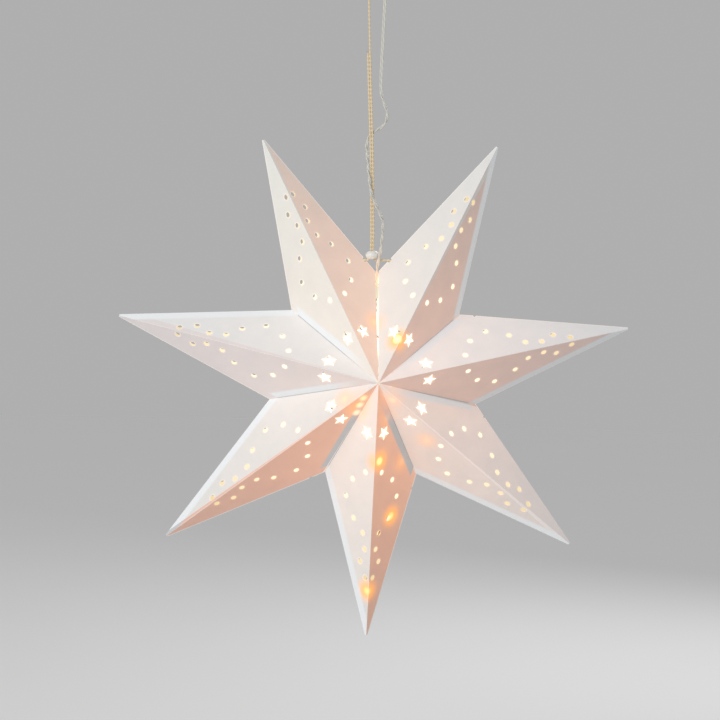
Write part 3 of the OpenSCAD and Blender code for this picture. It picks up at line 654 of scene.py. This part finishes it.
def clear_jacket(name, wire_light, wire_dark, lay, lit=0.0):
    """Clear soft vinyl over twisted wire strands: glossy, the strands show as fine slanted lines, and a painted glow of
    lamp light fades a short way up it from its lower end."""
    material, tree, shader = new_material(name, {"Roughness": 0.4, "Coat Weight": 0.4, "Coat Roughness": 0.25})
    known = work_out(tree, {"along": attribute(tree, "along"), "around": attribute(tree, "around")}, (
        ("lays", "DIVIDE", "along", lay), ("slant", "ADD", "lays", "around"),
        ("wave", "MULTIPLY", "slant", 4 * math.pi), ("strand", "SINE", "wave"),
        ("share", "MULTIPLY_ADD", "strand", 0.5, 0.5),
    ))
    if lit:
        # painted glow of lamp light on the lead's lower end
        work_out(tree, known, (("left", "MULTIPLY_ADD!", "along", -1 / lit, 1.2), ("glow", "MULTIPLY", "left", "left")))
        link(tree, scaled(tree, (0.42, 0.19, 0.06), known["glow"]), shader.inputs["Emission Color"])
        shader.inputs["Emission Strength"].default_value = 1.0
    tint = blend(tree, known["share"], linear(wire_dark), linear(wire_light))
    surface(tree, shader, tint, known["share"], 0.08)
    return material


def moulded(name, colour, roughness, grain, spread=0.06, metallic=0.0):
    """Moulded or drawn part with a fine even grain in its colour, gloss and surface."""
    material, tree, shader = new_material(name, {"Metallic": metallic})
    texture = noise(tree, grain, 3.0)[0]
    shades = [(*(min(1, part * share) for part in linear(colour)[:3]), 1.0) for share in (1 - spread, 1 + spread)]
    gloss = add(tree, "ShaderNodeMapRange", {0: texture, 3: roughness - 0.06, 4: roughness + 0.06})
    link(tree, gloss.outputs[0], shader.inputs["Roughness"])
    surface(tree, shader, ramp(tree, texture, *shades), texture, 0.15)
    return material


def lit_lamp():
    """Warm white diode lamp under clear epoxy: glossy, shining in patches of amber and pale yellow."""
    material, tree, shader = new_material("lit_epoxy_lamp", {"Roughness": 0.12, "Emission Strength": 2.5})
    tint = ramp(tree, noise(tree, 400.0)[0], linear("#FFB84A"), linear("#FFF0C4"))
    for socket in ("Base Color", "Emission Color"):
        link(tree, tint, shader.inputs[socket])
    return material


def dress(node, material):
    """Gives a CAD node its finish."""
    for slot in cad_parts[node].material_slots:
        slot.link = "OBJECT"
        slot.material = material


class STAR_OT_camera(bpy.types.Operator):
    """Camera at the photograph's place, a little above the star's middle and to its left."""
    bl_idname = "star.camera"
    bl_label = "Camera"

    def execute(self, context):
        camera = bpy.data.cameras.new("view")
        camera.sensor_width, camera.lens = 36.0, 108.5
        holder = bpy.data.objects.new("view", camera)
        right, up = Vector((0.99795, -0.05722, 0.02875)), Vector((-0.02485, 0.06773, 0.99739))
        turn = Matrix((right, up, right.cross(up))).transposed().to_4x4()
        holder.matrix_world = Matrix.Translation((-0.14678, -2.48789, -0.35504)) @ turn
        context.scene.collection.objects.link(holder)
        context.scene.camera = holder
        return {"FINISHED"}


class STAR_OT_cords(bpy.types.Operator):
    """Plaited hanging cord with its tail, the loop and knot at its top, and the sling that carries the star."""
    bl_idname = "star.cords"
    bl_label = "Cords"

    def execute(self, context):
        settings, tree, cotton = context.scene.star_cord, plait_tree(), plaited_cotton()
        rise = [(-0.017 + 0.0023 * math.cos(a) * min(1, a / 2, (16.2 - a) / 2),
                 0.0023 * math.sin(a) * min(1, a / 2, (16.2 - a) / 2), 0.5112 + 0.0086 * a / 16.2)
                for a in [0.45 * i for i in range(37)]]
        coil = [(-0.017, 0, 0.5095), *rise, (-0.017, 0, 0.5215)]
        for node, route in (("hanging_cord", MAIN_CORD), ("cord_tail", TAIL), ("cord_sling", SLING),
                            ("hanging_loop", LOOP), ("cord_knot", coil)):
            mesh = plaited(node + "_plait", route, tree, cotton, settings)
            finished(node + "_plait", mesh, [node])
        work = bmesh.new()
        end = hung(TAIL[-1])
        for i in range(22):
            a, r = 2.4 * i, 0.00105 * math.sqrt((i + 0.5) / 22)
            foot = end + Vector((r * math.cos(a), r * math.sin(a), -0.0006))
            tip = foot + Vector((0.0007 * math.cos(1.7 * i) + 0.5 * r * math.cos(a),
                                 0.0007 * math.sin(2.9 * i), 0.0021 + 0.0012 * math.sin(5.1 * i)))
            ring = [work.verts.new(foot + 0.00011 * Vector((math.cos(k * 2.0944), math.sin(k * 2.0944), 0)))
                    for k in range(3)]
            peak = work.verts.new(tip)
            for k in range(3):
                work.faces.new((ring[k], ring[(k + 1) % 3], peak))
            work.faces.new(ring[::-1])
        fray = bpy.data.meshes.new("cord_tail_fray")
        work.to_mesh(fray)
        work.free()
        fray.materials.append(cotton)
        fray_piece = finished("cord_tail_fray", tidy_mesh(fray, 1e-8))
        return {"FINISHED"}


class STAR_OT_lead(bpy.types.Operator):
    """Flat two-core lead, twisted near the star, with its plug tied to the cord."""
    bl_idname = "star.lead"
    bl_label = "Supply Lead"

    def execute(self, context):
        settings = context.scene.star_lead
        route = smooth_route(LEAD, 0.001)
        below = [p.z < settings.twisted_below for p in route].index(False)
        reach = route_length(route[:below])

        def turns(spot, gone):
            return math.pi * max(0.0, reach - gone) / settings.half_turn

        mesh = sweep("supply_lead_twist", route, two_cores(settings.width, settings.thickness), turns)
        mesh.materials.append(clear_jacket("clear_vinyl_over_tinned_wire", "#D6D5CD", "#C8C7BE", 0.016, lit=0.055))
        lead = finished("supply_lead_twist", mesh, ["supply_lead"])
        black = moulded("black_moulded_vinyl", "#2A2B2D", 0.48, 1500.0)
        nickel = moulded("nickel_plated_brass", "#D2D0C8", 0.22, 900.0, 0.03, 1.0)
        relief = [(0, 0), (0.0023, 0), (0.0026, 0.0003)]
        for i in range(4):
            foot, wide = 0.0008 + 0.0022 * i, 0.0027 + 0.0003 * i
            relief += [(wide, foot), (wide, foot + 0.0011), (wide - 0.0005, foot + 0.0013),
                       (wide - 0.0005, foot + 0.0021)]
        relief += [(0.0036, 0.0098), (0.0036, 0.01), (0, 0.01)]
        body = [(0, 0), (0.0041, 0), (0.0047, 0.0007), (0.0048, 0.0014)]
        for i in range(7):
            foot = 0.003 + 0.0012 * i
            body += [(0.0048, foot), (0.0045, foot + 0.0002), (0.0045, foot + 0.0005), (0.0048, foot + 0.0007)]
        body += [(0.0048, 0.0206), (0.0046, 0.0215), (0.0042, 0.0219), (0.0031, 0.022), (0, 0.022)]
        barrel = [(0, 0), (0.00265, 0), (0.00275, 0.0002), (0.00275, 0.0086), (0.00262, 0.0093), (0.0024, 0.0095),
                  (0.0014, 0.0095), (0.00105, 0.0092), (0.00105, 0.001), (0, 0.001)]
        foot = hung(PLUG_AT)
        for node, profile, height, finish, slot in (
                ("plug_relief", relief, 0.0, black, "plug"), ("plug_body", body, 0.01, black, "plug"),
                ("plug_barrel", barrel, 0.032, nickel, "contact")):
            turned = lathe(node + "_turned", profile, foot + Vector((0, 0, height)), sides=48)
            turned.set_sharp_from_angle(angle=math.radians(35))
            turned.materials.append(finish)
            finished(node + "_turned", turned, [node])
        dress("cable_tie", moulded("natural_nylon", "#E8E6DD", 0.42, 1200.0))
        dress("splice_sleeve", moulded("heat_shrunk_sleeve", "#DAD9D2", 0.5, 1100.0))
        return {"FINISHED"}


class STAR_OT_card(bpy.types.Operator):
    """Finish of the folded card arms."""
    bl_idname = "star.card"
    bl_label = "Card"

    def execute(self, context):
        card = folded_card()
        for k in range(ARMS):
            dress(f"star_arm_{k + 1}", card)
        return {"FINISHED"}


class STAR_OT_bead(bpy.types.Operator):
    """Flattened bead that holds the two strands together."""
    bl_idname = "star.bead"
    bl_label = "Bead"

    def execute(self, context):
        profile = [(BEAD_R * math.cos(math.radians(a)), BEAD_HALF_H * math.sin(math.radians(a)))
                   for a in range(-60, 64, 6)]
        profile += [(0.0031, 0.00475), (0.0029, 0.0044), (0.0029, -0.0042), (0.0032, -0.00466)]
        mesh = lathe("cord_bead_round", profile, hung(BEAD_AT), tilt=math.radians(-8), closed=True)
        mesh.materials.append(lacquered_wood())
        finished("cord_bead_round", mesh, ["cord_bead"])
        return {"FINISHED"}


class STAR_OT_light_string(bpy.types.Operator):
    """Twisted wires, holders and lit lamps inside the star."""
    bl_idname = "star.light_string"
    bl_label = "Light String"

    def execute(self, context):
        def turns(spot, gone):
            return math.pi * gone / 0.007

        mesh = sweep("light_wire_twist", smooth_route(WIRE, 0.001), two_cores(0.0022, 0.0011, 165, 5), turns)
        mesh.materials.append(clear_jacket("clear_vinyl_over_copper", "#D0AC84", "#A5805A", 0.01))
        finished("light_wire_twist", mesh, ["light_wire"])
        holder, lamp = moulded("milky_polypropylene", "#DCDCCF", 0.4, 900.0), lit_lamp()
        for k in range(10):
            dress(f"holder_{k + 1}", holder)
            dress(f"lamp_{k + 1}", lamp)
        return {"FINISHED"}


class STAR_OT_stage(bpy.types.Operator):
    """Pale floor, soft lamps and even light from all sides."""
    bl_idname = "star.stage"
    bl_label = "Stage"

    def execute(self, context):
        settings = context.scene.star_stage
        sheet = bpy.data.meshes.new("floor")
        corners = [(7 * math.cos(a * math.pi / 32), 7 * math.sin(a * math.pi / 32), -settings.floor_drop)
                   for a in range(64)]
        sheet.from_pydata(corners, [], [tuple(range(64))])
        # topped up for the camera alone, so that its far edge meets the backdrop's colour
        material, tree, shader = new_material("pale_floor", {"Roughness": 0.9, "Specular IOR Level": 0.1,
                                                             "Emission Color": (0.0915, 0.0915, 0.0915, 1.0)})
        tone = add(tree, "ShaderNodeMapRange", {0: noise(tree, 3.0)[0], 3: 0.98, 4: 1.0})
        link(tree, scaled(tree, tuple(settings.floor), tone.outputs[0]), shader.inputs["Base Color"])
        path = add(tree, "ShaderNodeLightPath")
        link(tree, path.outputs["Is Camera Ray"], shader.inputs["Emission Strength"])
        sheet.materials.append(material)
        floor = bpy.data.objects.new("floor", sheet)
        context.scene.collection.objects.link(floor)
        for name, way, power, width in (("key", (-0.49, -0.77, 0.41), settings.key, 1.6),
                                        ("back", (0.45, 0.80, 0.40), settings.back, 1.6)):
            lamp = bpy.data.lights.new(name, "AREA")
            lamp.energy, lamp.size = power, width
            holder = bpy.data.objects.new(name, lamp)
            middle, way = Vector((0.017, 0, -0.52)), Vector(way).normalized()
            facing = way.to_track_quat("Z", "Y").to_matrix().to_4x4()
            holder.matrix_world = Matrix.Translation(middle + 2.6 * way) @ facing
            holder.visible_camera = False
            context.scene.collection.objects.link(holder)
        world = bpy.data.worlds.new("even_light")
        world.use_nodes = True
        context.scene.world = world
        tree = world.node_tree
        tree.nodes.clear()
        path = add(tree, "ShaderNodeLightPath")
        seen = work_out(tree, {"camera": path.outputs["Is Camera Ray"], "gloss": path.outputs["Is Glossy Ray"],
                               "clear": path.outputs["Is Transmission Ray"]},
                        (("either", "ADD!", "camera", "gloss"), ("seen", "ADD!", "either", "clear")))["seen"]
        around = add(tree, "ShaderNodeBackground", {"Color": (1.0, 1.0, 1.0, 1.0), "Strength": settings.around})
        behind = add(tree, "ShaderNodeBackground", {"Color": (*settings.behind, 1.0), "Strength": 1.0})
        both = add(tree, "ShaderNodeMixShader", {0: seen, 1: around.outputs[0], 2: behind.outputs[0]})
        add(tree, "ShaderNodeOutputWorld", {0: both.outputs[0]})
        context.scene.view_settings.view_transform = "Standard"
        return {"FINISHED"}


class STAR_PT_panel(bpy.types.Panel):
    """Lists the steps that dress the star."""
    bl_label = "Card Star"
    bl_idname = "STAR_PT_panel"
    bl_space_type = "VIEW_3D"
    bl_region_type = "UI"
    bl_category = "Card Star"

    def draw(self, context):
        for group in SETTINGS:
            for name in SETTINGS[group].__annotations__:
                self.layout.prop(getattr(context.scene, group), name)
        for step in STEPS:
            self.layout.operator(step.bl_idname)


SETTINGS = {"star_card": StarCardSettings, "star_cord": CordSettings, "star_lead": LeadSettings,
            "star_stage": StageSettings}
STEPS = (STAR_OT_camera, STAR_OT_cords, STAR_OT_lead, STAR_OT_card, STAR_OT_bead, STAR_OT_light_string, STAR_OT_stage)


def register():
    for group in SETTINGS:
        bpy.utils.register_class(SETTINGS[group])
        setattr(bpy.types.Scene, group, PointerProperty(type=SETTINGS[group]))
    for step in (*STEPS, STAR_PT_panel):
        bpy.utils.register_class(step)


def unregister():
    for step in reversed((*STEPS, STAR_PT_panel)):
        bpy.utils.unregister_class(step)
    for group in SETTINGS:
        delattr(bpy.types.Scene, group)
        bpy.utils.unregister_class(SETTINGS[group])


def main():
    register()
    for step in STEPS:
        group, name = step.bl_idname.split(".")
        if getattr(getattr(bpy.ops, group), name)() != {"FINISHED"}:
            raise RuntimeError(f"{step.bl_label} didn't finish")


if __name__ == "__main__":
    main()
